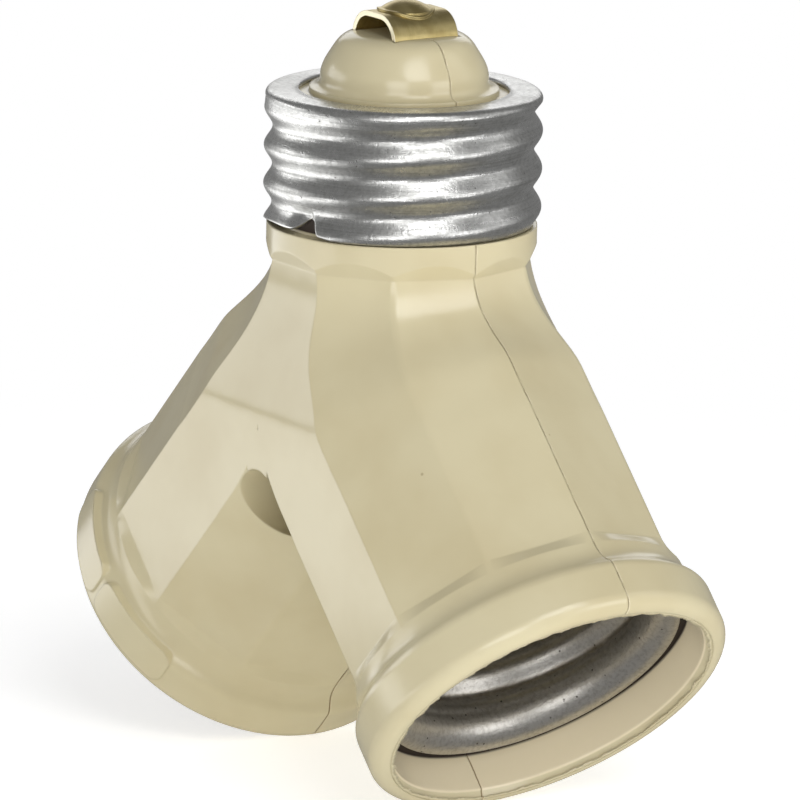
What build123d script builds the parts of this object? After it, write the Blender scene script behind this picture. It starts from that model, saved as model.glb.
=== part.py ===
from build123d import *
from math import cos, radians, sin, tan
import os

# Fits shared by every piece
clearance = 0.3
slot_clearance = 0.15

# Screw base, medium Edison size
base_radius = 13.05
base_height = 12.5
base_sheet = 0.4
base_groove_depth = 0.8
base_corner = 1.5
base_hole_radius = 9.9
notch_angle = -76
notch_width = 3.0
notch_depth = 1.65
notch_corner = 0.8
edge_gap = 0.15

# Neck under the screw base
neck_radius = 12.7
waist_z = -3.4
waist_apothem = 11.85
scallop_z = -1.9

# Dome inside the base opening
dome_foot_radius = 8.9
dome_radius = 7.9
dome_shoulder_radius = 7.0
dome_shoulder_z = 16.0
dome_top_radius = 4.4
dome_top_z = 17.85
dome_foot_rise = 0.6
dome_side_z = 13.6

# Ten sided arms
sides = 10
arm_angle = 45
arm_crossing_z = -14.1
arm_apothem = 15.6
bend_apothems = (12.75, 14.1, 15.2, 15.55)
arm_straight_start = 15.0
flat_sweep = ((12.15, -6.0), (12.76, -8.0), (14.21, -12.0), (15.33, -16.0))
flat_start_z = -18.5
edge_rounding = 1.2

# Collars at the sockets
rim_along = 38.3
collar_radius = 17.75
collar_length = 5.4
collar_start_radius = 17.2
collar_shoulder = 1.1
flare_length = 2.4
ramp_length = 1.2
rim_rounding = 1.4
mouth_radius = 16.1
throat_radius = 15.5
mouth_chamfer = 0.9
throat_depth = 4.7

# Raised tablets on the left collar
tablet_angles = (107.8, 72.2)
tablet_span = 10.3
tablet_from_rim = 3.5
tablet_height = 4.2
tablet_rise = 0.2
tablet_rounding = 1.2

# Socket shells
socket_radius = 12.47
socket_sheet = 0.4
socket_groove_depth = 0.83
socket_floor_along = 16.0
socket_floor_hole = 8.4
socket_floor_corner = 0.9
lip_radius = 14.5
lip_from_rim = 3.8
lip_flare = 1.9

# Feed tabs that rise from the socket shells
tab_width = 6.0
tab_x = 10.3
tab_reach = 11.1
tab_bend = 0.7

# Contact strip
strip_width = 7.0
strip_sheet = 0.5
strip_span = 7.4
strip_top_z = 20.0
strip_bend = 1.2
arch_rounding = 2.4
button_radius = 2.7
button_rise = 0.2
button_dome = 0.95
tongue_root_across = 5.0
tongue_root_along = 12.4
tongue_tip_across = -4.0
tongue_tip_along = 13.8
pocket_radius = 7.5
pocket_along = 11.2

# Rivet through the crotch
rivet_z = -25.8
rivet_radius = 1.5
rivet_head_radius = 3.0
rivet_head_height = 1.3
rivet_head_chamfer = 0.8
counterbore_radius = 3.4
counterbore_y = 9.6

# Locating pegs between the halves
peg_radius = 1.2
peg_length = 2.5
peg_heights = (5.0, -17.5)

facet = 360 / sides
half_facet = facet / 2
lean_cos = cos(radians(arm_angle))
lean_sin = sin(radians(arm_angle))
crossing = Vector(0, 0, arm_crossing_z)
along_arm = Vector(lean_sin, 0, -lean_cos)
across_arm = Vector(lean_cos, 0, lean_sin)
arm_axis = Axis(crossing, along_arm)
arm_frame = Plane(crossing, x_dir=across_arm, z_dir=along_arm)
arm_profile = Plane(crossing, x_dir=across_arm, z_dir=(0, 1, 0))
side_view = Plane(origin=(0, 0, 0), x_dir=(1, 0, 0), z_dir=(0, -1, 0))
overall_reach = 2 * rim_along
collar_start_along = rim_along - collar_length
ramp_end_along = collar_start_along - flare_length
facet_end_along = ramp_end_along - ramp_length
tablet_along = rim_along - tablet_from_rim
lip_along = rim_along - lip_from_rim
lip_flare_along = lip_along - lip_flare


def corner_radius(apothem):
    """Distance from the axis to a corner of a facet section."""
    return apothem / cos(radians(half_facet))


def arm_point(across, along):
    """Side view point given in the right arm's own directions."""
    point = crossing + across_arm * across + along_arm * along
    return (point.X, point.Z)


def arm_section(plane, apothem):
    """Arm section, crisp on the joint plane, whose front and back facets run on to a ridge."""
    corner = corner_radius(apothem)
    ridge = apothem / cos(radians(facet))
    corner_angles = (0, facet, 180 - facet, 180, 180 + facet, 360 - facet)
    marks = [(angle, corner) for angle in corner_angles]
    marks = sorted(marks + [(90, ridge), (270, ridge)])
    points = [(r * cos(radians(a)), r * sin(radians(a))) for a, r in marks]
    outline = make_face(Polyline(*points, close=True))
    rounded = [v for v in outline.vertices() if edge_rounding < abs(v.Y) < apothem]
    return plane * fillet(rounded, edge_rounding)


def neck_section(plane, apothem):
    """Ten sided section, crisp on the joint plane and round the front and back facets."""
    corner = corner_radius(apothem)
    points = [
        (corner * cos(radians(facet * i)), corner * sin(radians(facet * i)))
        for i in range(sides)
    ]
    outline = make_face(Polyline(*points, close=True))
    front_reach = apothem * cos(radians(half_facet))
    rounded = [v for v in outline.vertices() if edge_rounding < abs(v.Y) < front_reach]
    return plane * fillet(rounded, edge_rounding)


def round_section(along, radius):
    """Round section with the same divisions as the facets."""
    divisions = neck_section(Plane.XY, arm_apothem).face().outer_wire().order_edges()
    arcs = []
    for side in divisions:
        start, middle, end = (side @ share for share in (0, 0.5, 1))
        arcs.append(
            ThreePointArc(
                start.normalized() * radius, middle.normalized() * radius, end.normalized() * radius
            )
        )
    return arm_frame.offset(along) * make_face(arcs)


def turned(points_face):
    """Solid of revolution about the right arm's axis."""
    return revolve(arm_profile * points_face, arm_axis)


def strip_solid(path, thickness, width):
    """Folded sheet that follows a side view path, centred on the joint plane."""
    section = trace(path, line_width=thickness)
    return extrude(side_view * section, amount=width / 2, both=True)


def arm_blank():
    """Right arm from the waist to the collar, before its front and back are cut flat."""
    bend_radius = (waist_z - arm_crossing_z) / tan(radians(arm_angle / 2))
    pivot = Vector(bend_radius, 0, waist_z)
    swelling = (waist_apothem, *bend_apothems)
    sections = []
    for step, apothem in enumerate(swelling):
        turn = radians(arm_angle * step / len(bend_apothems))
        outward = Vector(cos(turn), 0, sin(turn))
        forward = Vector(sin(turn), 0, -cos(turn))
        place = Plane(pivot - outward * bend_radius, x_dir=outward, z_dir=forward)
        sections.append(arm_section(place, apothem))
    straight = arm_section(arm_frame.offset(arm_straight_start), arm_apothem)
    bend = loft(sections + [straight])
    return bend + extrude(straight, amount=facet_end_along - arm_straight_start)


def crotch_web():
    """Web that closes the fork above the rivet's counterbore."""
    foot = rivet_z + counterbore_radius / 2
    height = flat_start_z - foot
    return Pos(0, 0, foot + height / 2) * Box(counterbore_radius, 2 * collar_radius, height)


def front_and_back():
    """Slab whose two faces are the flat front and back with their sweep up to the waist."""
    low_z = -overall_reach
    sweep = Spline(
        (waist_apothem, waist_z),
        *flat_sweep,
        (arm_apothem, flat_start_z),
        tangents=((0, -1), (0, -1)),
    )
    side = Line((arm_apothem, flat_start_z), (arm_apothem, low_z))
    half = Curve() + [sweep, side]
    top = Line((-waist_apothem, waist_z), (waist_apothem, waist_z))
    bottom = Line((-arm_apothem, low_z), (arm_apothem, low_z))
    outline = Curve() + [half, mirror(half, Plane.YZ), top, bottom]
    return extrude(Plane.YZ * make_face(outline), amount=overall_reach, both=True)


def neck():
    """Ring under the screw base with the scalloped tops of the facets."""
    spread = (neck_radius - waist_apothem) / (scallop_z - waist_z)
    ring_top = -edge_gap
    upper = neck_section(Plane.XY.offset(ring_top), waist_apothem + spread * (ring_top - waist_z))
    lower = neck_section(Plane.XY.offset(waist_z), waist_apothem)
    faceted = loft([lower, upper], ruled=True)
    height = ring_top - waist_z
    ring = Pos(0, 0, waist_z + height / 2) * Cylinder(neck_radius, height)
    return faceted & ring


def spigot_and_dome():
    """Plain spigot inside the screw base and the dome that carries the contact."""
    spigot_radius = base_radius - base_groove_depth - base_sheet - clearance
    spigot_top = base_height - base_sheet
    foot_top = spigot_top + dome_foot_rise
    side_start = (dome_radius, dome_side_z)
    outline = Curve() + [
        Polyline(
            (0, -edge_gap),
            (spigot_radius, -edge_gap),
            (spigot_radius, spigot_top - clearance),
            (spigot_radius - clearance, spigot_top),
            (dome_foot_radius, spigot_top),
            (dome_foot_radius, foot_top),
        ),
        Spline((dome_foot_radius, foot_top), side_start, tangents=((-1, 0), (0, 1))),
        Spline(
            side_start,
            (dome_shoulder_radius, dome_shoulder_z),
            (dome_top_radius, dome_top_z),
            tangents=((0, 1), (-1, 0)),
        ),
        Polyline((dome_top_radius, dome_top_z), (0, dome_top_z), (0, -edge_gap)),
    ]
    return revolve(Plane.XZ * make_face(outline), Axis.Z)


def cove():
    """Ramps from the ten facets up to a round, and the concave flare on to the collar."""
    round_radius = corner_radius(arm_apothem)
    facets = neck_section(arm_frame.offset(facet_end_along), arm_apothem)
    ramps = loft([facets, round_section(ramp_end_along, round_radius)], ruled=True)
    start = (round_radius, ramp_end_along)
    end = (collar_start_radius, collar_start_along)
    outline = Curve() + [
        Spline(start, end, tangents=((0, 1), (1, 1))),
        Polyline(end, (0, collar_start_along), (0, ramp_end_along), start),
    ]
    return ramps + turned(make_face(outline))


def collar():
    """Round collar of the right socket, still solid."""
    start = (collar_start_radius, collar_start_along)
    shoulder = (collar_radius, collar_start_along + collar_shoulder)
    outline = make_face(
        Curve()
        + [
            Polyline((0, rim_along), (0, collar_start_along), start),
            Spline(start, shoulder, tangents=((1, 1), (0, 1))),
            Polyline(shoulder, (collar_radius, rim_along), (0, rim_along)),
        ]
    )
    rim = outline.vertices().sort_by_distance((collar_radius, rim_along))[0]
    return turned(fillet(rim, rim_rounding))


def socket_void():
    """Open hollow of the right socket, from the tongue pocket out through the mouth."""
    bore_radius = socket_radius + socket_groove_depth + socket_sheet + clearance
    outside = rim_along + throat_depth
    return turned(
        make_face(
            Polyline(
                (0, pocket_along),
                (pocket_radius, pocket_along),
                (pocket_radius, socket_floor_along),
                (bore_radius, socket_floor_along),
                (bore_radius, rim_along - throat_depth),
                (throat_radius, rim_along - throat_depth),
                (throat_radius, rim_along - mouth_chamfer),
                (mouth_radius, rim_along),
                (mouth_radius, outside),
                (0, outside),
                close=True,
            )
        )
    )


def tablet(angle):
    """Bare raised tablet on the left collar."""
    pad = RectangleRounded(tablet_span, tablet_height, tablet_rounding)
    seat = Plane((collar_radius / 2, 0, tablet_along), x_dir=(0, 1, 0), z_dir=(1, 0, 0))
    place = arm_frame.location * Rotation(0, 0, angle) * seat.location
    block = place * extrude(pad, amount=collar_radius)
    inner = collar_radius - collar_shoulder
    outer = collar_radius + tablet_rise
    skin = turned(
        make_face(
            Polyline(
                (inner, tablet_along - tablet_height),
                (outer, tablet_along - tablet_height),
                (outer, tablet_along + tablet_height),
                (inner, tablet_along + tablet_height),
                close=True,
            )
        )
    )
    return mirror(block & skin, Plane.YZ)


def strip_path():
    """Side view centre line of the contact strip, from tongue to tongue."""
    leg_x = (strip_span - strip_sheet) / 2
    arch_z = strip_top_z - strip_sheet / 2
    elbow_z = arm_crossing_z + (tongue_root_across - leg_x * lean_cos) / lean_sin
    tip = arm_point(tongue_tip_across, tongue_tip_along)
    root = arm_point(tongue_root_across, tongue_root_along)
    lower = FilletPolyline(tip, root, (leg_x, elbow_z), (leg_x, 0), radius=strip_bend)
    arch = FilletPolyline(
        (leg_x, 0), (leg_x, arch_z), (-leg_x, arch_z), (-leg_x, 0), radius=arch_rounding
    )
    return Wire(lower.edges() + arch.edges() + mirror(lower, Plane.YZ).edges())


def tab_path():
    """Side view centre line of the right feed tab, from the shell floor to the base flange."""
    wall = socket_radius + socket_sheet / 2
    elbow_along = tab_x / lean_sin - wall * lean_cos / lean_sin
    foot = arm_point(wall, socket_floor_along + socket_floor_corner)
    elbow = arm_point(wall, elbow_along)
    top = base_height - base_sheet - socket_sheet / 2
    return FilletPolyline(foot, elbow, (tab_x, top), (tab_reach, top), radius=tab_bend)


def base_screw_shell():
    """Drawn base shell with its top flange and the notch in its lower edge."""
    inner_radius = base_radius - base_sheet
    under = base_height - base_sheet
    outline = make_face(
        Polyline(
            (inner_radius, 0),
            (base_radius, 0),
            (base_radius, base_height),
            (base_hole_radius, base_height),
            (base_hole_radius, under),
            (inner_radius, under),
            close=True,
        )
    )
    outer = outline.vertices().sort_by_distance((base_radius, base_height))[0]
    outline = fillet(outer, base_corner)
    inner = outline.vertices().sort_by_distance((inner_radius, under))[0]
    outline = chamfer(inner, base_corner - base_sheet)
    cup = revolve(Plane.XZ * outline, Axis.Z)
    slot = RectangleRounded(notch_width, 2 * notch_depth, notch_corner)
    cutter = extrude(Plane.YZ * slot, amount=base_radius + base_sheet)
    return cup - Rotation(0, 0, notch_angle) * cutter


def socket_shell():
    """Right socket shell: floor, wall, flared lip and the feed tab that rises from it."""
    outer = socket_radius + socket_sheet
    floor = socket_floor_along
    wall = make_face(
        Curve()
        + [
            Polyline(
                (socket_radius, lip_flare_along),
                (socket_radius, floor + socket_sheet),
                (socket_floor_hole, floor + socket_sheet),
                (socket_floor_hole, floor),
                (outer, floor),
                (outer, lip_flare_along),
            ),
            Spline(
                (outer, lip_flare_along),
                (lip_radius, lip_along - socket_sheet),
                tangents=((0, 1), (1, 0)),
            ),
            Line((lip_radius, lip_along - socket_sheet), (lip_radius, lip_along)),
            Spline(
                (lip_radius, lip_along),
                (socket_radius, lip_flare_along),
                tangents=((-1, 0), (0, -1)),
            ),
        ]
    )
    corner = wall.vertices().sort_by_distance((outer, floor))[0]
    wall = chamfer(corner, socket_floor_corner)
    inside = wall.vertices().sort_by_distance((socket_radius, floor + socket_sheet))[0]
    wall = chamfer(inside, socket_floor_corner - socket_sheet)
    return turned(wall) + strip_solid(tab_path(), socket_sheet, tab_width)


def button():
    """Domed button on top of the contact strip's arch."""
    underside = strip_top_z - strip_sheet
    rim_radius = button_radius - button_rise
    apex = (0, strip_top_z + button_dome)
    rim = (rim_radius, strip_top_z)
    outline = Curve() + [
        TangentArc(apex, rim, tangent=(1, 0)),
        Polyline(rim, (rim_radius, underside), (0, underside), apex),
    ]
    return revolve(Plane.XZ * make_face(outline), Axis.Z)


def contact_strip():
    """One folded strip: arch with its button, two legs and a spring tongue in each socket."""
    strip = strip_solid(strip_path(), strip_sheet, strip_width)
    raised = strip_solid(strip_path(), strip_sheet + 2 * button_rise, strip_width)
    above = Pos(0, 0, strip_top_z) * Cylinder(button_radius, strip_span / 2)
    return strip + (raised & above) + button()


def rivet():
    """Rivet through the crotch with a head on each side."""
    outline = make_face(
        Polyline(
            (0, counterbore_y + rivet_head_height),
            (rivet_head_radius, counterbore_y + rivet_head_height),
            (rivet_head_radius, counterbore_y),
            (rivet_radius, counterbore_y),
            (rivet_radius, 0),
            (0, 0),
            close=True,
        )
    )
    top = (rivet_head_radius, counterbore_y + rivet_head_height)
    rim = outline.vertices().sort_by_distance(top)[0]
    half = revolve(chamfer(rim, rivet_head_chamfer), Axis.Y)
    return Pos(0, 0, rivet_z) * (half + mirror(half, Plane.XZ))


def rivet_void():
    """Hole and counterbores for the rivet."""
    lie_along_y = Rotation(90, 0, 0)
    hole = lie_along_y * Cylinder(rivet_radius + clearance, 2 * overall_reach)
    bore = lie_along_y * Cylinder(counterbore_radius, overall_reach)
    shift = counterbore_y + overall_reach / 2
    return Pos(0, 0, rivet_z) * (hole + Pos(0, shift, 0) * bore + Pos(0, -shift, 0) * bore)


def housing():
    """Both mouldings in one solid, before they are parted on the joint plane."""
    arm = arm_blank()
    body = (arm + mirror(arm, Plane.YZ) + crotch_web()) & front_and_back()
    right_collar = cove() + collar()
    body += [right_collar, mirror(right_collar, Plane.YZ), neck(), spigot_and_dome()]
    body += [tablet(angle) for angle in tablet_angles]
    void = socket_void()
    strip_slot = strip_solid(
        strip_path(), strip_sheet + 2 * slot_clearance, strip_width + 2 * slot_clearance
    )
    tab_slot = strip_solid(
        tab_path(), socket_sheet + 2 * slot_clearance, tab_width + 2 * slot_clearance
    )
    right_voids = [void, tab_slot]
    left_voids = [mirror(hollow, Plane.YZ) for hollow in right_voids]
    return body - [*right_voids, *left_voids, strip_slot, rivet_void()]


def pegs(radius, length):
    """Locating pegs, or the holes they enter, behind the joint plane."""
    peg = Rotation(-90, 0, 0) * Cylinder(radius, length, align=(Align.CENTER, Align.CENTER, Align.MIN))
    return [Pos(0, 0, height) * peg for height in peg_heights]


whole = housing()
front = split(whole, bisect_by=Plane.XZ, keep=Keep.TOP)
back = split(whole, bisect_by=Plane.XZ, keep=Keep.BOTTOM)
right_shell = socket_shell()

pieces = {
    "front_housing": front + pegs(peg_radius, peg_length),
    "back_housing": back - pegs(peg_radius + clearance, peg_length + clearance),
    "base_screw_shell": base_screw_shell(),
    "contact_strip": contact_strip(),
    "right_socket_shell": right_shell,
    "left_socket_shell": mirror(right_shell, Plane.YZ),
    "housing_rivet": rivet(),
}

os.makedirs("parts", exist_ok=True)
for name, solid in pieces.items():
    export_step(solid, f"parts/{name}.step")
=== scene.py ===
import logging
import math
from dataclasses import dataclass
from enum import Enum
from typing import Any, Callable, Optional, Union

import bmesh
import bpy
from mathutils import Matrix, Vector, noise


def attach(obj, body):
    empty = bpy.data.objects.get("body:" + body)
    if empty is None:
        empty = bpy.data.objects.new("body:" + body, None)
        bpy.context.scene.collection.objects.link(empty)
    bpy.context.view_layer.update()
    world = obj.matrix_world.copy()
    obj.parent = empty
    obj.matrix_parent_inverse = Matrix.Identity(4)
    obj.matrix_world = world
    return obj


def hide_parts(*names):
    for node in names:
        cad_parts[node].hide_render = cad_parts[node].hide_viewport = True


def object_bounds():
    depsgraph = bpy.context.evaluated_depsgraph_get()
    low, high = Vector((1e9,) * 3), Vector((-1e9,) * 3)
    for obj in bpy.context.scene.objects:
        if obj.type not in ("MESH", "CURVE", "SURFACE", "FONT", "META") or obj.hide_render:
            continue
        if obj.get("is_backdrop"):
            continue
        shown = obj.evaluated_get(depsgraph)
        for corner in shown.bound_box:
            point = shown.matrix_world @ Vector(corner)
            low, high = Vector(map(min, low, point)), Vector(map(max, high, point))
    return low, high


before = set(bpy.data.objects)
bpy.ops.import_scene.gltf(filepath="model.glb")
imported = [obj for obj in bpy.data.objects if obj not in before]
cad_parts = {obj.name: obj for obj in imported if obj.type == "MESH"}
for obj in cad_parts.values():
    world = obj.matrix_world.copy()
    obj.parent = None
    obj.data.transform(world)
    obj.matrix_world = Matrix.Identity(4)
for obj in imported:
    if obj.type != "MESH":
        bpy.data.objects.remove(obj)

MM = 0.001
BEVEL_SAMPLES = 6
MIX_SHARE, MIX_LOW, MIX_HIGH, MIX_COLOUR = 0, 6, 7, 2
NOISE_MIDDLE = 0.5
SPOT_CORE = 0.5
MERGE = 1e-4
NEAR = 1e-3
ARM_LEAN = math.radians(45)
ARM_SLOPE = math.sqrt(0.5)
BODY = "root"
GROOVE = "groove"
LOG = logging.getLogger("lamp_socket_adapter")

Colour = tuple[float, float, float]
Span = tuple[float, float]
Value = Union[float, "Signal"]


def srgb(red: float, green: float, blue: float) -> Colour:
    """Linear colour of an 8-bit display colour.

    Args:
        red: Red from 0 to 255.
        green: Green from 0 to 255.
        blue: Blue from 0 to 255.

    Returns:
        The same colour in linear light.
    """
    def linear(level: float) -> float:
        """One channel in linear light."""
        share = level / 255
        return share / 12.92 if share <= 0.04045 else ((share + 0.055) / 1.055) ** 2.4

    return linear(red), linear(green), linear(blue)


def ease(value: float, low: float, high: float) -> float:
    """Smooth step of a number from 0 at low to 1 at high."""
    share = min(max((value - low) / (high - low), 0.0), 1.0)
    return share * share * (3 - 2 * share)


@dataclass(frozen=True)
class Grain:
    """One noise: its waves a millimetre, its detail and its roughness."""

    scale: float
    detail: float = 2.0
    roughness: float = 0.5


def ragged(angle: float, waves: float, seed: float) -> float:
    """Noise between -1 and 1 that closes on itself round the axis.

    Args:
        angle: Angle round the axis in radians.
        waves: How fast the noise runs.
        seed: Picks one noise of many.

    Returns:
        The noise at the angle.
    """
    return noise.noise(Vector((math.cos(angle) * waves, math.sin(angle) * waves, seed)))


class Side(Enum):
    """The two arms, by the sign of their lean along X."""

    RIGHT = 1
    LEFT = -1

    @property
    def word(self) -> str:
        """Lower-case name of the side."""
        return self.name.lower()


class Signal:
    """One shader value whose arithmetic adds Math nodes."""

    def __init__(self, sheet: "NodeSheet", socket: bpy.types.NodeSocket) -> None:
        """Wraps a socket of the sheet."""
        self.sheet = sheet
        self.socket = socket

    def _maths(self, operation: str, *operands: Value) -> "Signal":
        """Adds one Math node.

        Args:
            operation: The node's operation.
            operands: Its inputs in order.

        Returns:
            The node's result.
        """
        inputs = dict(enumerate(operands))
        return self.sheet.signal("ShaderNodeMath", {"operation": operation}, inputs)

    def __add__(self, other: Value) -> "Signal":
        """Sum."""
        return self._maths("ADD", self, other)

    __radd__ = __add__

    def __sub__(self, other: Value) -> "Signal":
        """Difference."""
        return self._maths("SUBTRACT", self, other)

    def __rsub__(self, other: Value) -> "Signal":
        """Difference from a number."""
        return self._maths("SUBTRACT", other, self)

    def __mul__(self, other: Value) -> "Signal":
        """Product."""
        return self._maths("MULTIPLY", self, other)

    __rmul__ = __mul__

    def __abs__(self) -> "Signal":
        """Size without sign."""
        return self._maths("ABSOLUTE", self)

    def __pow__(self, other: Value) -> "Signal":
        """Power."""
        return self._maths("POWER", self, other)

    def most(self, other: Value) -> "Signal":
        """Larger of two values."""
        return self._maths("MAXIMUM", self, other)

    def rise(self, low: float, high: float) -> "Signal":
        """Smooth step from 0 at low to 1 at high.

        Args:
            low: Value at and below which the step is 0.
            high: Value at and above which the step is 1.

        Returns:
            The step.
        """
        settings = {"interpolation_type": "SMOOTHSTEP"}
        inputs = {"Value": self, "From Min": low, "From Max": high}
        return self.sheet.signal("ShaderNodeMapRange", settings, inputs)

    def fall(self, low: float, high: float) -> "Signal":
        """Smooth step from 1 at low to 0 at high."""
        return 1 - self.rise(low, high)


class NodeSheet:
    """Node tree that is filled by expressions."""

    def __init__(self, tree: bpy.types.NodeTree) -> None:
        """Clears the tree."""
        self.tree = tree
        tree.nodes.clear()

    def add(
        self,
        kind: str,
        settings: Optional[dict[str, Any]] = None,
        inputs: Optional[dict[Union[str, int], Any]] = None,
    ) -> bpy.types.Node:
        """Adds any node.

        Args:
            kind: The node's type.
            settings: Its properties, set first.
            inputs: Values or signals of its sockets, by name or number.

        Returns:
            The node.
        """
        node = self.tree.nodes.new(kind)
        for name, value in (settings or {}).items():
            setattr(node, name, value)
        for name, value in (inputs or {}).items():
            if isinstance(value, Signal):
                self.tree.links.new(value.socket, node.inputs[name])
            else:
                node.inputs[name].default_value = value
        return node

    def signal(
        self,
        kind: str,
        settings: Optional[dict[str, Any]] = None,
        inputs: Optional[dict[Union[str, int], Any]] = None,
        output: Union[str, int] = 0,
    ) -> Signal:
        """Adds any node and wraps one of its outputs."""
        return Signal(self, self.add(kind, settings, inputs).outputs[output])

    def place(self) -> Signal:
        """Object coordinates in millimetres."""
        point = self.signal("ShaderNodeTexCoord", output="Object")
        return self.signal("ShaderNodeVectorMath", {"operation": "SCALE"}, {0: point, "Scale": 1 / MM})

    def axes(self, point: Signal) -> tuple[Signal, Signal, Signal]:
        """The three parts of a vector."""
        node = self.add("ShaderNodeSeparateXYZ", inputs={0: point})
        return tuple(Signal(self, node.outputs[i]) for i in range(3))

    def stretch(self, point: Signal, scale: Colour) -> Signal:
        """Vector times a scale along each axis."""
        return self.signal("ShaderNodeVectorMath", {"operation": "MULTIPLY"}, {0: point, 1: scale})

    def grain(self, point: Signal, grain: Grain) -> Signal:
        """Noise between 0 and 1."""
        inputs = {"Vector": point, "Scale": grain.scale, "Detail": grain.detail, "Roughness": grain.roughness}
        return self.signal("ShaderNodeTexNoise", inputs=inputs)

    def spots(self, point: Signal, scale: float, radius: float) -> Signal:
        """Round spots, one to a cell."""
        inputs = {"Vector": point, "Scale": scale}
        return self.signal("ShaderNodeTexVoronoi", inputs=inputs).fall(radius * SPOT_CORE, radius)

    def blend(self, share: Value, low: Any, high: Any) -> Signal:
        """Colour between two colours.

        Args:
            share: 0 for the first colour and 1 for the second.
            low: First colour or signal.
            high: Second colour or signal.

        Returns:
            The mixed colour.
        """
        def full(colour: Any) -> Any:
            """Colour with its alpha."""
            return colour if isinstance(colour, Signal) else (*colour, 1.0)

        inputs = {MIX_SHARE: share, MIX_LOW: full(low), MIX_HIGH: full(high)}
        return self.signal("ShaderNodeMix", {"data_type": "RGBA"}, inputs, MIX_COLOUR)

    def bump(self, height: Signal, strength: float, rounding: float = 0.0) -> Signal:
        """Normal from a height in millimetres, over softened edges where a rounding is given.

        Args:
            height: Height above the surface in millimetres.
            strength: Share of the height that is used.
            rounding: Radius of the softened edges in millimetres, or 0 for none.

        Returns:
            The normal.
        """
        inputs = {"Height": height, "Strength": strength, "Distance": MM}
        if rounding:
            settings = {"samples": BEVEL_SAMPLES}
            inputs["Normal"] = self.signal("ShaderNodeBevel", settings, {"Radius": rounding * MM})
        return self.signal("ShaderNodeBump", inputs=inputs)

    def emission(self, strength: float) -> Signal:
        """White glow."""
        return self.signal("ShaderNodeEmission", inputs={"Strength": strength})

    def mix(self, share: Signal, first: Signal, second: Signal) -> Signal:
        """Shader between two shaders."""
        return self.signal("ShaderNodeMixShader", inputs={0: share, 1: first, 2: second})

    def sum(self, first: Signal, second: Signal) -> Signal:
        """Two shaders together."""
        return self.signal("ShaderNodeAddShader", inputs={0: first, 1: second})

    def surface(self, **inputs: Any) -> None:
        """Principled surface of the material."""
        named = {name.replace("_", " "): value for name, value in inputs.items()}
        shader = self.signal("ShaderNodeBsdfPrincipled", inputs=named)
        self.add("ShaderNodeOutputMaterial", inputs={"Surface": shader})


class Finish:
    """A material that is made once and shared."""

    name: str

    def material(self) -> bpy.types.Material:
        """The finish as a material, made at first use.

        Returns:
            The material, one for all pieces.
        """
        known = bpy.data.materials.get(self.name)
        if known:
            return known
        made = bpy.data.materials.new(self.name)
        made.use_nodes = True
        self.paint(NodeSheet(made.node_tree))
        return made

    def paint(self, sheet: NodeSheet) -> None:
        """Fills the material's node tree."""
        raise NotImplementedError

    def coat(self, piece: bpy.types.Object) -> None:
        """Gives a piece this finish alone."""
        piece.data.materials.clear()
        piece.data.materials.append(self.material())


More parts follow.
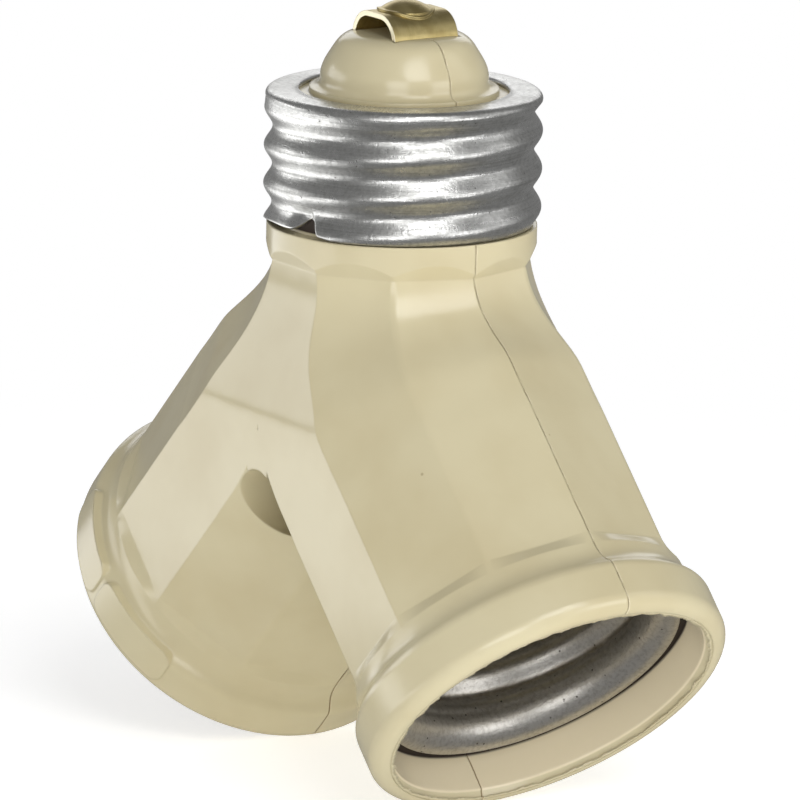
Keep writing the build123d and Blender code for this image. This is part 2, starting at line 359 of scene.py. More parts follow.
@dataclass(frozen=True)
class IvoryMoulding(Finish):
    """Glossy ivory thermoset moulding with its joint line, specks and faint mottling."""

    name: str = "ivory_moulding"
    body: Colour = srgb(207, 197, 163)
    shade: Colour = srgb(198, 186, 150)
    joint: Colour = srgb(158, 138, 98)
    low_joint: Colour = srgb(150, 116, 68)
    flash: Colour = srgb(228, 216, 184)
    # dark brown of the painted shade in the gap round the spigot and behind each lip
    painted_shade: Colour = srgb(46, 32, 20)
    # paler colour of the painted light on each mouth's inner wall
    painted_light_wall: Colour = srgb(228, 215, 184)
    speck: Colour = srgb(142, 124, 92)
    refraction: float = 1.56
    gloss: float = 0.15
    mottle_gloss: float = 0.08
    skin_gloss: float = 0.04
    line_gloss: float = 0.3
    # rougher where the painted shade lies
    painted_shade_gloss: float = 0.5
    mottle: Grain = Grain(0.09, 3.0)
    mottle_span: Span = (0.3, 0.75)
    skin: Grain = Grain(5.0, 3.0, 0.6)
    skin_height: float = 0.003
    ripple: Grain = Grain(0.7)
    ripple_height: float = 0.016
    wander: Grain = Grain(0.35, 3.0)
    wander_width: float = 0.3
    breaks: Grain = Grain(0.9)
    breaks_span: Span = (0.42, 0.56)
    low_span: Span = (-43.0, -40.0)
    line_span: Span = (0.02, 0.08)
    line_whole: float = 0.6
    line_least: float = 0.12
    line_share: float = 0.8
    line_height: float = 0.04
    flash_beside: float = 0.12
    flash_span: Span = (0.02, 0.12)
    flash_breaks: Grain = Grain(0.6)
    flash_breaks_span: Span = (0.44, 0.6)
    flash_share: float = 0.6
    flash_height: float = 0.03
    speck_cells: float = 0.26
    speck_radius: float = 0.05
    speck_patches: Grain = Grain(0.21)
    speck_span: Span = (0.54, 0.6)
    speck_share: float = 0.5
    relief: float = 0.6
    edge_rounding: float = 0.3
    # painted shade: the gap round the spigot inside the base shell
    spigot_area: Span = (140.61, 141.61)
    spigot_low: Span = (0.0, 0.2)
    spigot_high: Span = (12.0, 12.1)
    crossing: float = 14.1
    # each mouth's inner wall, where the painted light goes and, near the ledge, the painted shade
    mouth_area: Span = (241.8025, 244.9225)
    mouth_span: Span = (33.3, 33.4)
    # painted shade: the ledge and the wall just behind each mouth's lip
    ledge_span: Span = (33.65, 34.0)

    def in_arm(self, x: Signal, y: Signal, z: Signal) -> tuple[Signal, Signal]:
        """Place within an arm, the same for both arms.

        Args:
            x: Place across the part in millimetres.
            y: Place through the part in millimetres.
            z: Height in millimetres.

        Returns:
            Distance out along the arm, and 1 within the mouth's wall or 0 outside it.
        """
        along = (abs(x) - z - self.crossing) * ARM_SLOPE
        across = (abs(x) + z + self.crossing) * ARM_SLOPE
        within = (across * across + y * y).fall(*self.mouth_area)
        return along, within * along.rise(*self.mouth_span)

    def paint(self, sheet: NodeSheet) -> None:
        """Mottled body, specks, the line where the halves meet, painted shade in the gaps and painted light
        on each mouth's inner wall.

        Args:
            sheet: The material's node tree.
        """
        point = sheet.place()
        x, y, z = sheet.axes(point)
        cloud = sheet.grain(point, self.mottle)
        fine = sheet.grain(point, self.skin)
        beside = y + (sheet.grain(point, self.wander) - NOISE_MIDDLE) * self.wander_width
        broken = sheet.grain(point, self.breaks).rise(*self.breaks_span)
        low = z.fall(*self.low_span)
        line = abs(beside).fall(*self.line_span) * (broken * self.line_whole + self.line_least).most(low)
        torn = sheet.grain(point, self.flash_breaks).rise(*self.flash_breaks_span)
        flash = abs(beside - self.flash_beside).fall(*self.flash_span) * torn
        patch = sheet.grain(point, self.speck_patches).rise(*self.speck_span)
        speck = sheet.spots(point, self.speck_cells, self.speck_radius) * patch
        # painted shade: dark brown in the gap round the spigot and on the ledge behind each lip
        painted_shade_mask = (x * x + y * y).fall(*self.spigot_area)
        painted_shade_mask = painted_shade_mask * z.rise(*self.spigot_low) * z.fall(*self.spigot_high)
        along, mouth = self.in_arm(x, y, z)
        painted_shade_mask = painted_shade_mask.most(mouth * along.fall(*self.ledge_span))
        colour = sheet.blend(cloud.rise(*self.mottle_span), self.body, self.shade)
        # painted light: each mouth's inner wall is painted paler
        colour = sheet.blend(mouth, colour, self.painted_light_wall)
        colour = sheet.blend(speck * self.speck_share, colour, self.speck)
        colour = sheet.blend(flash * self.flash_share, colour, self.flash)
        colour = sheet.blend(line * self.line_share, colour, sheet.blend(low, self.joint, self.low_joint))
        # painted shade laid over the colour
        colour = sheet.blend(painted_shade_mask, colour, self.painted_shade)
        height = fine * self.skin_height + sheet.grain(point, self.ripple) * self.ripple_height
        height = height - line * self.line_height + flash * self.flash_height
        rough = cloud * self.mottle_gloss + fine * self.skin_gloss + self.gloss
        sheet.surface(
            Base_Color=colour,
            Roughness=rough + line * self.line_gloss + painted_shade_mask * self.painted_shade_gloss,
            Normal=sheet.bump(height, self.relief, self.edge_rounding),
            IOR=self.refraction,
        )


@dataclass(frozen=True)
class RolledAluminium(Finish):
    """Satin aluminium sheet with streaks along the rolling and small pits."""

    name: str = "rolled_aluminium"
    bright: Colour = srgb(216, 216, 214)
    dull: Colour = srgb(156, 156, 153)
    pit: Colour = srgb(70, 68, 66)
    gloss: float = 0.22
    wear_gloss: float = 0.14
    fine_gloss: float = 0.08
    streak_run: Colour = (0.12, 0.12, 5.0)
    streak: Grain = Grain(1.0, 4.0, 0.65)
    streak_span: Span = (0.35, 0.7)
    streak_share: float = 0.45
    streak_height: float = 0.025
    cloud: Grain = Grain(0.45, 3.0)
    cloud_span: Span = (0.4, 0.7)
    cloud_share: float = 0.25
    peel: Grain = Grain(2.4, 3.0, 0.6)
    peel_span: Span = (0.4, 0.65)
    peel_share: float = 0.3
    peel_height: float = 0.04
    fine: Grain = Grain(7.0)
    fine_height: float = 0.02
    pit_cells: float = 1.6
    pit_radius: float = 0.16
    pit_patches: Grain = Grain(0.6)
    pit_span: Span = (0.52, 0.6)
    pit_share: float = 0.7
    pit_depth: float = 0.03
    relief: float = 0.7

    def paint(self, sheet: NodeSheet) -> None:
        """Streaks round the screw, pits and a dusting of scratches.

        Args:
            sheet: The material's node tree.
        """
        point = sheet.place()
        streak = sheet.grain(sheet.stretch(point, self.streak_run), self.streak)
        cloud = sheet.grain(point, self.cloud)
        patch = sheet.grain(point, self.pit_patches).rise(*self.pit_span)
        pits = sheet.spots(point, self.pit_cells, self.pit_radius) * patch
        fine = sheet.grain(point, self.fine)
        peel = sheet.grain(point, self.peel)
        wear = streak.rise(*self.streak_span) * self.streak_share
        wear = wear + cloud.rise(*self.cloud_span) * self.cloud_share
        wear = wear + peel.rise(*self.peel_span) * self.peel_share
        colour = sheet.blend(wear, self.bright, self.dull)
        colour = sheet.blend(pits * self.pit_share, colour, self.pit)
        height = streak * self.streak_height + fine * self.fine_height
        height = height + peel * self.peel_height - pits * self.pit_depth
        sheet.surface(
            Base_Color=colour,
            Metallic=1.0,
            Roughness=wear * self.wear_gloss + fine * self.fine_gloss + self.gloss,
            Normal=sheet.bump(height, self.relief),
        )


@dataclass(frozen=True)
class SocketAluminium(Finish):
    """Dull aluminium of the sockets, brown in patches along the thread grooves."""

    name: str = "socket_aluminium"
    bright: Colour = srgb(206, 203, 197)
    dull: Colour = srgb(140, 134, 124)
    groove_brown: Colour = srgb(122, 104, 78)
    pit: Colour = srgb(52, 44, 34)
    gloss: float = 0.34
    groove_brown_gloss: float = 0.2
    fine_gloss: float = 0.1
    groove_span: Span = (0.3, 0.9)
    cloud: Grain = Grain(0.5, 4.0, 0.6)
    cloud_span: Span = (0.25, 0.65)
    fine: Grain = Grain(6.0)
    fine_height: float = 0.025
    peel: Grain = Grain(2.6, 3.0, 0.65)
    peel_span: Span = (0.4, 0.7)
    peel_share: float = 0.35
    peel_height: float = 0.05
    pit_cells: float = 1.3
    pit_radius: float = 0.17
    pit_patches: Grain = Grain(0.5)
    pit_span: Span = (0.5, 0.58)
    pit_share: float = 0.8
    pit_depth: float = 0.03
    relief: float = 0.7

    def paint(self, sheet: NodeSheet) -> None:
        """Brown patches that follow the thread grooves, pits and cloudiness.

        Args:
            sheet: The material's node tree.
        """
        point = sheet.place()
        groove = sheet.signal("ShaderNodeAttribute", {"attribute_name": GROOVE}, output="Fac")
        cloud = sheet.grain(point, self.cloud)
        fine = sheet.grain(point, self.fine)
        peel = sheet.grain(point, self.peel)
        patch = sheet.grain(point, self.pit_patches).rise(*self.pit_span)
        pits = sheet.spots(point, self.pit_cells, self.pit_radius) * patch
        # brown in patches where the thread grooves are deep
        groove_patches = groove.rise(*self.groove_span) * cloud.rise(*self.cloud_span)
        colour = sheet.blend(peel.rise(*self.peel_span) * self.peel_share, self.bright, self.dull)
        colour = sheet.blend(groove_patches, colour, self.groove_brown)
        colour = sheet.blend(pits * self.pit_share, colour, self.pit)
        height = fine * self.fine_height + peel * self.peel_height - pits * self.pit_depth
        sheet.surface(
            Base_Color=colour,
            Metallic=1.0,
            Roughness=groove_patches * self.groove_brown_gloss + fine * self.fine_gloss + self.gloss,
            Normal=sheet.bump(height, self.relief),
        )


@dataclass(frozen=True)
class SpringBrass(Finish):
    """Brushed brass strip with bright cut edges."""

    name: str = "spring_brass"
    body: Colour = srgb(198, 182, 130)
    tarnish: Colour = srgb(158, 140, 88)
    edge: Colour = srgb(232, 224, 196)
    edge_span: Span = (3.44, 3.48)
    gloss: float = 0.28
    brush_gloss: float = 0.16
    brush_run: Colour = (0.5, 9.0, 0.5)
    brush: Grain = Grain(1.0, 4.0, 0.6)
    brush_share: float = 0.3
    brush_height: float = 0.02
    cloud: Grain = Grain(0.6, 3.0)
    cloud_span: Span = (0.35, 0.7)
    cloud_share: float = 0.6
    relief: float = 0.6
    edge_rounding: float = 0.12

    def paint(self, sheet: NodeSheet) -> None:
        """Brushing along the strip, tarnish and the bright sheared edges.

        Args:
            sheet: The material's node tree.
        """
        point = sheet.place()
        across = sheet.axes(point)[1]
        brush = sheet.grain(sheet.stretch(point, self.brush_run), self.brush)
        cloud = sheet.grain(point, self.cloud).rise(*self.cloud_span)
        cut = abs(across).rise(*self.edge_span)
        colour = sheet.blend(cloud * self.cloud_share + brush * self.brush_share, self.body, self.tarnish)
        colour = sheet.blend(cut, colour, self.edge)
        sheet.surface(
            Base_Color=colour,
            Metallic=1.0,
            Roughness=brush * self.brush_gloss + self.gloss,
            Normal=sheet.bump(brush * self.brush_height, self.relief, self.edge_rounding),
        )


@dataclass(frozen=True)
class RivetBrass(Finish):
    """Dull plated rivet."""

    name: str = "rivet_brass"
    body: Colour = srgb(170, 152, 110)
    tarnish: Colour = srgb(112, 96, 62)
    gloss: float = 0.25
    cloud: Grain = Grain(0.9, 4.0, 0.6)
    cloud_span: Span = (0.35, 0.65)
    cloud_gloss: float = 0.2
    cloud_height: float = 0.03
    relief: float = 0.6
    edge_rounding: float = 0.3

    def paint(self, sheet: NodeSheet) -> None:
        """Cloudy tarnish over a turned head.

        Args:
            sheet: The material's node tree.
        """
        cloud = sheet.grain(sheet.place(), self.cloud)
        sheet.surface(
            Base_Color=sheet.blend(cloud.rise(*self.cloud_span), self.body, self.tarnish),
            Metallic=1.0,
            Roughness=cloud * self.cloud_gloss + self.gloss,
            Normal=sheet.bump(cloud * self.cloud_height, self.relief, self.edge_rounding),
        )


@dataclass(frozen=True)
class PaleFloor(Finish):
    """White table that keeps the object's soft shadow and shows a bright card in gloss."""

    name: str = "pale_floor"
    body: Colour = (0.86, 0.86, 0.86)
    white: float = 1.0
    lift: float = 0.56
    glow: float = 0.46
    right_glow: float = 0.75
    dim: float = 0.22
    gleam: float = 2.3
    run_out: Span = (60.0, 170.0)
    right_span: Span = (5.0, 60.0)
    card_front: Span = (-40.0, -12.0)
    card_right: Span = (-20.0, 20.0)
    card_near: Span = (45.0, 90.0)
    card_far: Span = (330.0, 462.0)

    def paint(self, sheet: NodeSheet) -> None:
        """Lit table that runs out to plain white; gloss sees a dim room and the card.

        Args:
            sheet: The material's node tree.
        """
        x, y = sheet.axes(sheet.place())[:2]
        reach = (x * x + y * y) ** 0.5
        paths = sheet.add("ShaderNodeLightPath").outputs
        shown = Signal(sheet, paths["Is Camera Ray"]).most(Signal(sheet, paths["Is Transmission Ray"]))
        mirrored = Signal(sheet, paths["Is Glossy Ray"])
        lit = sheet.signal("ShaderNodeBsdfDiffuse", inputs={"Color": (*self.body, 1.0)})
        table = sheet.sum(lit, sheet.emission(self.lift))
        seen = sheet.mix(reach.rise(*self.run_out), table, sheet.emission(self.white))
        glow = sheet.mix(x.rise(*self.right_span), sheet.emission(self.glow), sheet.emission(self.right_glow))
        left = y.fall(*self.card_front) * x.fall(*self.card_right)
        left = left * reach.rise(*self.card_near) * reach.fall(*self.card_far)
        around = sheet.mix(left, sheet.emission(self.dim), sheet.emission(self.gleam))
        unseen = sheet.mix(mirrored, sheet.sum(lit, glow), around)
        self.one_sided(sheet, sheet.mix(shown, unseen, seen))

    def one_sided(self, sheet: NodeSheet, floor: Signal) -> None:
        """Makes the floor clear from below.

        Args:
            sheet: The material's node tree.
            floor: The floor's shader from above.
        """
        under = sheet.signal("ShaderNodeNewGeometry", output="Backfacing")
        clear = sheet.signal("ShaderNodeBsdfTransparent")
        sheet.add("ShaderNodeOutputMaterial", inputs={"Surface": sheet.mix(under, floor, clear)})


class SheetForm:
    """Mesh of one drawn or folded sheet piece, modelled with bmesh operators in millimetres."""

    def __init__(self) -> None:
        """Starts empty."""
        self.bm = bmesh.new()

    def path(self, points: list[tuple[float, float]], pieces: list[int]) -> None:
        """Wire through side-view points.

        Args:
            points: Pairs of x and z.
            pieces: How many parts each run is divided into.
        """
        corners = [self.bm.verts.new((x, 0, z)) for x, z in points]
        runs = [self.bm.edges.new(pair) for pair in zip(corners, corners[1:])]
        for run, parts in zip(runs, pieces):
            if parts > 1:
                bmesh.ops.subdivide_edges(self.bm, edges=[run], cuts=parts - 1)

    def turn(self, steps: int) -> None:
        """Spins the wire round Z into a closed surface.

        Args:
            steps: How many parts the turn has.
        """
        geometry = self.bm.verts[:] + self.bm.edges[:]
        bmesh.ops.spin(
            self.bm, geom=geometry, cent=(0, 0, 0), axis=(0, 0, 1), dvec=(0, 0, 0),
            angle=math.tau, steps=steps, use_merge=True, use_normal_flip=False, use_duplicate=False,
        )
        bmesh.ops.remove_doubles(self.bm, verts=self.bm.verts[:], dist=MERGE)

    def round_ring(self, radius: float, height: float, rounding: float, segments: int) -> None:
        """Bevels the ring of edges at a radius and height.

        Args:
            radius: The ring's radius.
            height: The ring's height.
            rounding: How far the bevel reaches from the edge.
            segments: How many parts the bevel has.
        """
        def on_ring(vert: bmesh.types.BMVert) -> bool:
            """Whether a vertex lies on the ring."""
            reach = math.hypot(vert.co.x, vert.co.y)
            return abs(reach - radius) < NEAR and abs(vert.co.z - height) < NEAR

        ring = [edge for edge in self.bm.edges if all(on_ring(v) for v in edge.verts)]
        bmesh.ops.bevel(
            self.bm, geom=ring, offset=rounding, offset_type="OFFSET", affect="EDGES",
            segments=segments, profile=0.5, material=-1, clamp_overlap=True,
        )
        bmesh.ops.remove_doubles(self.bm, verts=self.bm.verts[:], dist=NEAR)

    def reshape(self, move: Callable[[float, float, float], tuple[float, float, float]]) -> None:
        """Moves every vertex, given and returned as radius, angle and height.

        Args:
            move: Gives a vertex's new place from its old one.
        """
        for vert in self.bm.verts:
            reach = math.hypot(vert.co.x, vert.co.y)
            angle = math.atan2(vert.co.y, vert.co.x)
            radius, angle, height = move(reach, angle, vert.co.z)
            vert.co = (radius * math.cos(angle), radius * math.sin(angle), height)

    def thicken(self, thickness: float) -> None:
        """Gives the surface a wall, behind its faces where the thickness is positive."""
        bmesh.ops.recalc_face_normals(self.bm, faces=self.bm.faces[:])
        bmesh.ops.solidify(self.bm, geom=self.bm.faces[:], thickness=thickness)

    def widen(self, width: float) -> None:
        """Draws the wire out along Y into a strip centred on the joint plane.

        Args:
            width: The strip's width.
        """
        bmesh.ops.translate(self.bm, verts=self.bm.verts[:], vec=(0, -width / 2, 0))
        made = bmesh.ops.extrude_edge_only(self.bm, edges=self.bm.edges[:])
        moved = [item for item in made["geom"] if isinstance(item, bmesh.types.BMVert)]
        bmesh.ops.translate(self.bm, verts=moved, vec=(0, width, 0))

    def join(self, other: "SheetForm") -> None:
        """Takes in the mesh of another form.

        Args:
            other: The form, which is used up.
        """
        spare = bpy.data.meshes.new("spare")
        other.bm.to_mesh(spare)
        other.bm.free()
        self.bm.from_mesh(spare)
        bpy.data.meshes.remove(spare)

    def finish(self, name: str, place: Matrix = Matrix.Identity(4)) -> bpy.types.Object:
        """Makes the object.

        Args:
            name: The piece's name.
            place: Where the form goes in the row frame, in millimetres.

        Returns:
            A shaded object with its place in its mesh.
        """
        bmesh.ops.transform(self.bm, matrix=Matrix.Scale(MM, 4) @ place, verts=self.bm.verts[:])
        for face in self.bm.faces:
            face.smooth = True
        mesh = bpy.data.meshes.new(name)
        self.bm.to_mesh(mesh)
        self.bm.free()
        piece = bpy.data.objects.new(name, mesh)
        bpy.context.scene.collection.objects.link(piece)
        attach(piece, BODY)
        return piece


@dataclass
class ScrewThread:
    """Rolled right-hand screw thread of the medium lamp size."""

    pitch: float = 3.629
    depth: float = 0.8

    def trough(self, angle: float, height: float, start: float) -> float:
        """Depth share below the crest, from 0 on a crest to 1 in a groove.

        Args:
            angle: Angle round the axis in radians.
            height: Height along the axis.
            start: Height of a crest at angle 0.

        Returns:
            Share of the thread's depth.
        """
        turn = (height - start) / self.pitch - angle / math.tau
        return 0.5 - 0.5 * math.cos(math.tau * turn)


@dataclass
class ScrewBase:
    """The base shell that screws into a lamp holder."""

    crest_radius: float = 13.05
    height: float = 12.5
    corner: float = 1.5
    opening_radius: float = 9.9
    sheet: float = 0.35
    wall_top: float = 10.9
    crest_start: float = 1.005
    fade_low: float = 10.6
    fade_high: float = 12.2
    notch_angle: float = -75.8
    notch_depth: float = 1.65
    notch_left: float = 2.6
    notch_right: float = 3.4
    wall_steep: float = 0.8
    wall_fall: Span = (0.3, 1.5)
    wall_start: float = 0.8
    ramp_end: float = -0.3
    lobe_rise: float = 0.5
    lobe_run: Span = (5.0, 13.0)
    dent: float = 0.5
    dent_left: Span = (-3.4, -1.2)
    dent_right: Span = (-0.4, 0.3)
    dent_height: Span = (1.8, 3.0)
    burr: float = 0.12
    burr_waves: float = 9.0
    burr_least: float = 0.25
    burr_seed: float = 2.7
    edge_span: float = 4.5
    wall_pieces: int = 64
    flange_pieces: int = 4
    corner_pieces: int = 8
    turn_pieces: int = 480

    def from_notch(self, angle: float) -> float:
        """Distance round the wall from the notch's highest point, positive to its right."""
        return math.remainder(angle - math.radians(self.notch_angle), math.tau) * self.crest_radius

    def lower_edge(self, angle: float) -> float:
        """Height of the shell's lower edge: a long ramp, the notch, a steep wall and a few burrs.

        Args:
            angle: Angle round the axis in radians.

        Returns:
            The height above the base plane.
        """
        away = self.from_notch(angle)
        burr = self.burr * max(ragged(angle, self.burr_waves, self.burr_seed) - self.burr_least, 0)
        lobe = self.lobe_rise * (1 - ease(-away, *self.lobe_run))
        if away > 0:
            foot = (1 - self.wall_steep) * ease(away, self.wall_start, self.notch_right)
            wall = 1 - self.wall_steep * ease(away, *self.wall_fall) - foot
            return self.notch_depth * wall + burr
        ramp = ease(away, -self.notch_left, self.ramp_end)
        return (self.notch_depth - lobe) * ramp + lobe + burr

    def pushed_in(self, angle: float, height: float) -> float:
        """How far the lobe left of the notch is dented towards the axis.

        Args:
            angle: Angle round the axis in radians.
            height: Height along the axis.

        Returns:
            The dent's depth.
        """
        away = self.from_notch(angle)
        across = ease(away, *self.dent_left) * (1 - ease(away, *self.dent_right))
        return self.dent * across * (1 - ease(height, *self.dent_height))

    def build(self) -> bpy.types.Object:
        """The rolled shell with flange, thread and notch.

        Returns:
            The shell's object.
        """
        thread = ScrewThread()
        wall = [(self.crest_radius, height) for height in (0, self.wall_top, self.height)]
        form = SheetForm()
        form.path([*wall, (self.opening_radius, self.height)], [self.wall_pieces, 1, self.flange_pieces])
        form.turn(self.turn_pieces)
        form.round_ring(self.crest_radius, self.height, self.corner, self.corner_pieces)

        def roll(reach: float, angle: float, height: float) -> tuple[float, float, float]:
            """Rolls the thread, lifts the lower edge and dents the lobe.

            Args:
                reach: Distance from the axis.
                angle: Angle round the axis in radians.
                height: Height along the axis.

            Returns:
                The same three after the move.
            """
            edge = self.lower_edge(angle)
            if height < self.edge_span:
                height = edge + height * (self.edge_span - edge) / self.edge_span
            fade = 1 - ease(height, self.fade_low, self.fade_high)
            sunk = thread.depth * fade * thread.trough(angle, height, self.crest_start)
            return reach - sunk - self.pushed_in(angle, height), angle, height

        form.reshape(roll)
        form.thicken(self.sheet)
        return form.finish("rolled_base_shell")

    def dress(self, shell: bpy.types.Object) -> None:
        """Takes the plain shell's place in satin aluminium.

        Args:
            shell: The rolled shell.
        """
        RolledAluminium().coat(shell)
        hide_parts("base_screw_shell")


@dataclass
class LampSocket:
    """One threaded socket shell, in its arm's own frame."""

    side: Side
    crest_radius: float = 12.47
    depth: float = 0.83
    sheet: float = 0.35
    floor: float = 16.2
    floor_hole: float = 8.4
    floor_corner: float = 0.7
    wall_low: float = 17.2
    wall_high: float = 31.6
    lip_along: float = 33.7
    lip_radius: float = 14.5
    lip_round: float = 1.9
    crest_start: float = 21.6
    crossing: float = -14.1
    tab_width: float = 6.0
    tab_across: float = 10.3
    tab_reach: float = 11.1
    tab_top: float = 11.9
    run_in: float = 2.0
    run_out: float = 1.6
    floor_pieces: int = 3
    wall_pieces: int = 84
    turn_pieces: int = 240
    lip_pieces: int = 10
    corner_pieces: int = 4

    def frame(self) -> Matrix:
        """Place of the arm's frame, whose Z runs out along the arm.

        Returns:
            The frame in millimetres.
        """
        lean = ARM_LEAN * self.side.value
        across = Vector((math.cos(lean) * self.side.value, 0, abs(math.sin(lean))))
        along = Vector((math.sin(lean), 0, -math.cos(lean)))
        beside = along.cross(across)
        turn = Matrix((across, beside, along)).transposed().to_4x4()
        return Matrix.Translation((0, 0, self.crossing)) @ turn

    def tab(self) -> SheetForm:
        """Feed tab that rises from the shell's floor to the base flange.

        Returns:
            The tab in the arm's frame.
        """
        wall = self.crest_radius + self.sheet / 2
        slope = ARM_SLOPE
        elbow = self.tab_across / slope - wall
        points = [
            ((self.wall_low + wall) * slope, self.crossing + (wall - self.wall_low) * slope),
            ((elbow + wall) * slope, self.crossing + (wall - elbow) * slope),
            (self.tab_across, self.tab_top),
            (self.tab_reach, self.tab_top),
        ]
        form = SheetForm()
        form.path([(x * self.side.value, z) for x, z in points], [1, 1, 1])
        form.widen(self.tab_width)
        form.thicken(self.sheet)
        bmesh.ops.transform(form.bm, matrix=self.frame().inverted(), verts=form.bm.verts[:])
        return form

    def build(self) -> bpy.types.Object:
        """The rolled shell with floor, thread, flared lip and tab.

        Returns:
            The shell's object.
        """
        thread = ScrewThread(depth=self.depth)
        form = SheetForm()
        heights = (self.floor, self.wall_low, self.wall_high, self.lip_along)
        wall = [(self.crest_radius, height) for height in heights]
        form.path(
            [(self.floor_hole, self.floor), *wall, (self.lip_radius, self.lip_along)],
            [self.floor_pieces, 1, self.wall_pieces, 1, 1],
        )
        form.turn(self.turn_pieces)
        form.round_ring(self.crest_radius, self.lip_along, self.lip_round, self.lip_pieces)
        form.round_ring(self.crest_radius, self.floor, self.floor_corner, self.corner_pieces)

        def roll(reach: float, angle: float, height: float) -> tuple[float, float, float]:
            """Rolls the thread outward between the floor and the lip.

            Args:
                reach: Distance from the axis.
                angle: Angle round the axis in radians.
                height: Height along the axis.

            Returns:
                The same three after the move.
            """
            low = ease(height, self.wall_low, self.wall_low + self.run_in)
            high = 1 - ease(height, self.wall_high - self.run_out, self.wall_high)
            rolled = thread.depth * low * high * thread.trough(angle, height, self.crest_start)
            return reach + rolled, angle, height

        form.reshape(roll)
        form.thicken(-self.sheet)
        form.join(self.tab())
        shell = form.finish(f"rolled_{self.side.word}_socket_shell", self.frame())
        self.mark_grooves(shell)
        return shell

    def mark_grooves(self, shell: bpy.types.Object) -> None:
        """Stores how deep each vertex lies in a groove, for the brown patches in the grooves.

        Args:
            shell: The rolled shell.
        """
        back = self.frame().inverted()
        layer = shell.data.attributes.new(GROOVE, "FLOAT", "POINT")
        for vert, item in zip(shell.data.vertices, layer.data):
            local = back @ (vert.co / MM)
            reach = math.hypot(local.x, local.y)
            deep = ease(reach, self.crest_radius, self.crest_radius + self.depth)
            item.value = deep * (local.z < self.wall_high)

    def dress(self, shell: bpy.types.Object) -> None:
        """Takes the plain shell's place in dull aluminium.

        Args:
            shell: The rolled shell.
        """
        SocketAluminium().coat(shell)
        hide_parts(f"{self.side.word}_socket_shell")


@dataclass
class MouthFlash:
    """Ragged thread of moulding left on the inner edge of a mouth."""

    side: Side
    mouth_radius: float = 16.1
    rim_along: float = 38.3
    reach: float = 0.42
    torn: float = 0.34
    sheet: float = 0.1
    overlap: float = 0.02
    outer_drop: float = 0.04
    inner_drop: float = 0.06
    coarse_waves: float = 14.0
    coarse_seed: float = 0.3
    coarse_share: float = 0.7
    fine_waves: float = 45.0
    fine_seed: float = 5.1
    fine_share: float = 0.5
    ring_pieces: int = 2
    turn_pieces: int = 600

    def build(self) -> bpy.types.Object:
        """The thin ring with its torn inner edge.

        Returns:
            The ring's object.
        """
        outer = self.mouth_radius + self.overlap
        edge = (outer, self.rim_along - self.outer_drop)
        tip = (outer - self.reach, self.rim_along - self.inner_drop)
        form = SheetForm()
        form.path([edge, tip], [self.ring_pieces])
        form.turn(self.turn_pieces)

        def tear(reach: float, angle: float, height: float) -> tuple[float, float, float]:
            """Moves the inner edge in and out.

            Args:
                reach: Distance from the axis.
                angle: Angle round the axis in radians.
                height: Height along the axis.

            Returns:
                The same three after the move.
            """
            share = (outer - reach) / self.reach
            coarse = self.coarse_share * ragged(angle, self.coarse_waves, self.coarse_seed)
            fine = self.fine_share * ragged(angle, self.fine_waves, self.fine_seed)
            return reach + share * self.torn * (coarse + fine), angle, height

        form.reshape(tear)
        form.thicken(self.sheet)
        return form.finish(f"{self.side.word}_mouth_flash", LampSocket(self.side).frame())

    def dress(self, ring: bpy.types.Object) -> None:
        """Gives the ring the moulding's finish."""
        IvoryMoulding().coat(ring)


@dataclass
class Housing:
    """The two moulded halves with the contact strip and the rivet they hold."""

    halves: tuple[str, str] = ("front_housing", "back_housing")
    strip: str = "contact_strip"
    rivet: str = "housing_rivet"

    def dress(self) -> None:
        """Gives the carried-over solids their finishes."""
        for half in self.halves:
            IvoryMoulding().coat(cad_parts[half])
        SpringBrass().coat(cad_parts[self.strip])
        RivetBrass().coat(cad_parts[self.rivet])


@dataclass
class PhotoCamera:
    """Camera at the photograph's place."""

    place: Colour = (0.692127, -0.449283, 0.166173)
    turn: Colour = (77.4599, -1.0522, 57.2347)
    lens: float = 404.0765
    sensor: float = 36.0
    clip_end: float = 10.0

    def build(self) -> None:
        """Makes the camera and the scene's view of it."""
        data = bpy.data.cameras.new("photo_camera")
        data.lens = self.lens
        data.sensor_width = self.sensor
        data.clip_end = self.clip_end
        camera = bpy.data.objects.new("photo_camera", data)
        camera.location = self.place
        camera.rotation_euler = [math.radians(angle) for angle in self.turn]
        bpy.context.scene.collection.objects.link(camera)
        bpy.context.scene.camera = camera
        bpy.context.scene.view_settings.view_transform = "Standard"


@dataclass
class Panel:
    """One soft light panel."""

    name: str
    place: Colour
    size: tuple[float, float]
    power: float
    aim: Colour = (0, 0, -0.018)

    def build(self) -> None:
        """Makes the panel, facing its aim."""
        data = bpy.data.lights.new(self.name, "AREA")
        data.shape = "RECTANGLE"
        data.size, data.size_y = self.size
        data.energy = self.power
        lamp = bpy.data.objects.new(self.name, data)
        lamp.location = self.place
        lamp.rotation_euler = (Vector(self.aim) - Vector(self.place)).to_track_quat("-Z", "Y").to_euler()
        lamp.visible_camera = False
        bpy.context.scene.collection.objects.link(lamp)


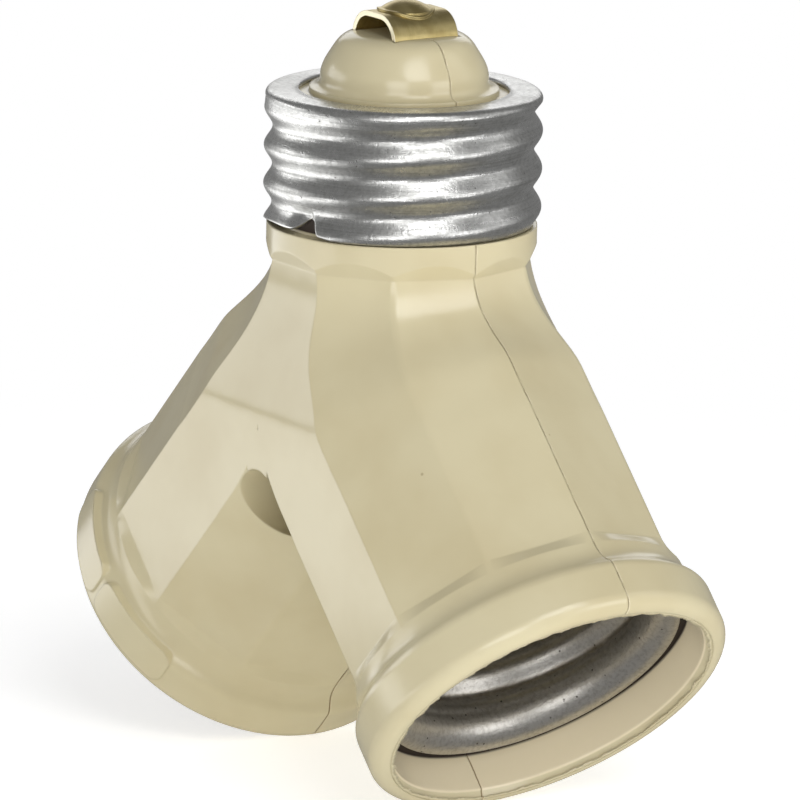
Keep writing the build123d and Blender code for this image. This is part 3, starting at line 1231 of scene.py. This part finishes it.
@dataclass
class Studio:
    """Floor, surround and soft panels."""

    fill: float = 0.22
    floor_half: float = 6.0
    drop: float = 0.0001

    def panels(self) -> list[Panel]:
        """The light panels round the object.

        Returns:
            The panels, in the order that they are made.
        """
        return [
            Panel("left_panel", (-0.55, -0.42, 0.1), (0.5, 0.22), 0.75),
            Panel("high_panel", (0.55, -0.12, 0.5), (0.4, 0.4), 2.0),
            Panel("back_panel", (0.35, 0.55, 0.3), (0.35, 0.5), 0.4),
            Panel("front_panel", (0.6, -0.52, 0.16), (0.4, 0.4), 1.5),
            Panel("right_panel", (0.75, 0.25, 0.1), (0.4, 0.4), 1.4),
            Panel("low_back_panel", (-0.57, 0.37, 0.25), (0.6, 0.3), 0.8),
        ]

    def surround(self) -> None:
        """White to the camera and an even fill for the light."""
        world = bpy.data.worlds.new("studio")
        world.use_nodes = True
        sheet = NodeSheet(world.node_tree)
        seen = sheet.signal("ShaderNodeLightPath", output="Is Camera Ray")
        strength = seen * (1 - self.fill) + self.fill
        light = sheet.signal("ShaderNodeBackground", inputs={"Color": (1, 1, 1, 1), "Strength": strength})
        sheet.add("ShaderNodeOutputWorld", inputs={"Surface": light})
        bpy.context.scene.world = world

    def floor(self, height: float) -> None:
        """Lays the pale floor under the object.

        Args:
            height: Height of the object's lowest point.
        """
        bm = bmesh.new()
        bmesh.ops.create_grid(bm, x_segments=1, y_segments=1, size=self.floor_half)
        bmesh.ops.translate(bm, verts=bm.verts[:], vec=(0, 0, height - self.drop))
        mesh = bpy.data.meshes.new("floor")
        bm.to_mesh(mesh)
        bm.free()
        floor = bpy.data.objects.new("floor", mesh)
        bpy.context.scene.collection.objects.link(floor)
        PaleFloor().coat(floor)
        floor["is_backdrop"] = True

    def build(self, height: float) -> None:
        """Makes the floor, the surround and the panels.

        Args:
            height: Height of the object's lowest point.
        """
        self.floor(height)
        self.surround()
        for panel in self.panels():
            panel.build()


def main() -> None:
    """Builds and dresses the adapter, then the studio round it."""
    logging.basicConfig(level=logging.INFO, format="%(message)s")
    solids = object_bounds()
    PhotoCamera().build()
    base = ScrewBase()
    shell = base.build()
    base.dress(shell)
    LOG.info("%s: %d faces", shell.name, len(shell.data.polygons))
    for side in Side:
        socket = LampSocket(side)
        shell = socket.build()
        socket.dress(shell)
        LOG.info("%s: %d faces", shell.name, len(shell.data.polygons))
        flash = MouthFlash(side)
        ring = flash.build()
        flash.dress(ring)
        LOG.info("%s: %d faces", ring.name, len(ring.data.polygons))
    Housing().dress()
    LOG.info("housing halves, contact strip and rivet dressed")
    Studio().build(solids[0].z)


if __name__ == "__main__":
    main()
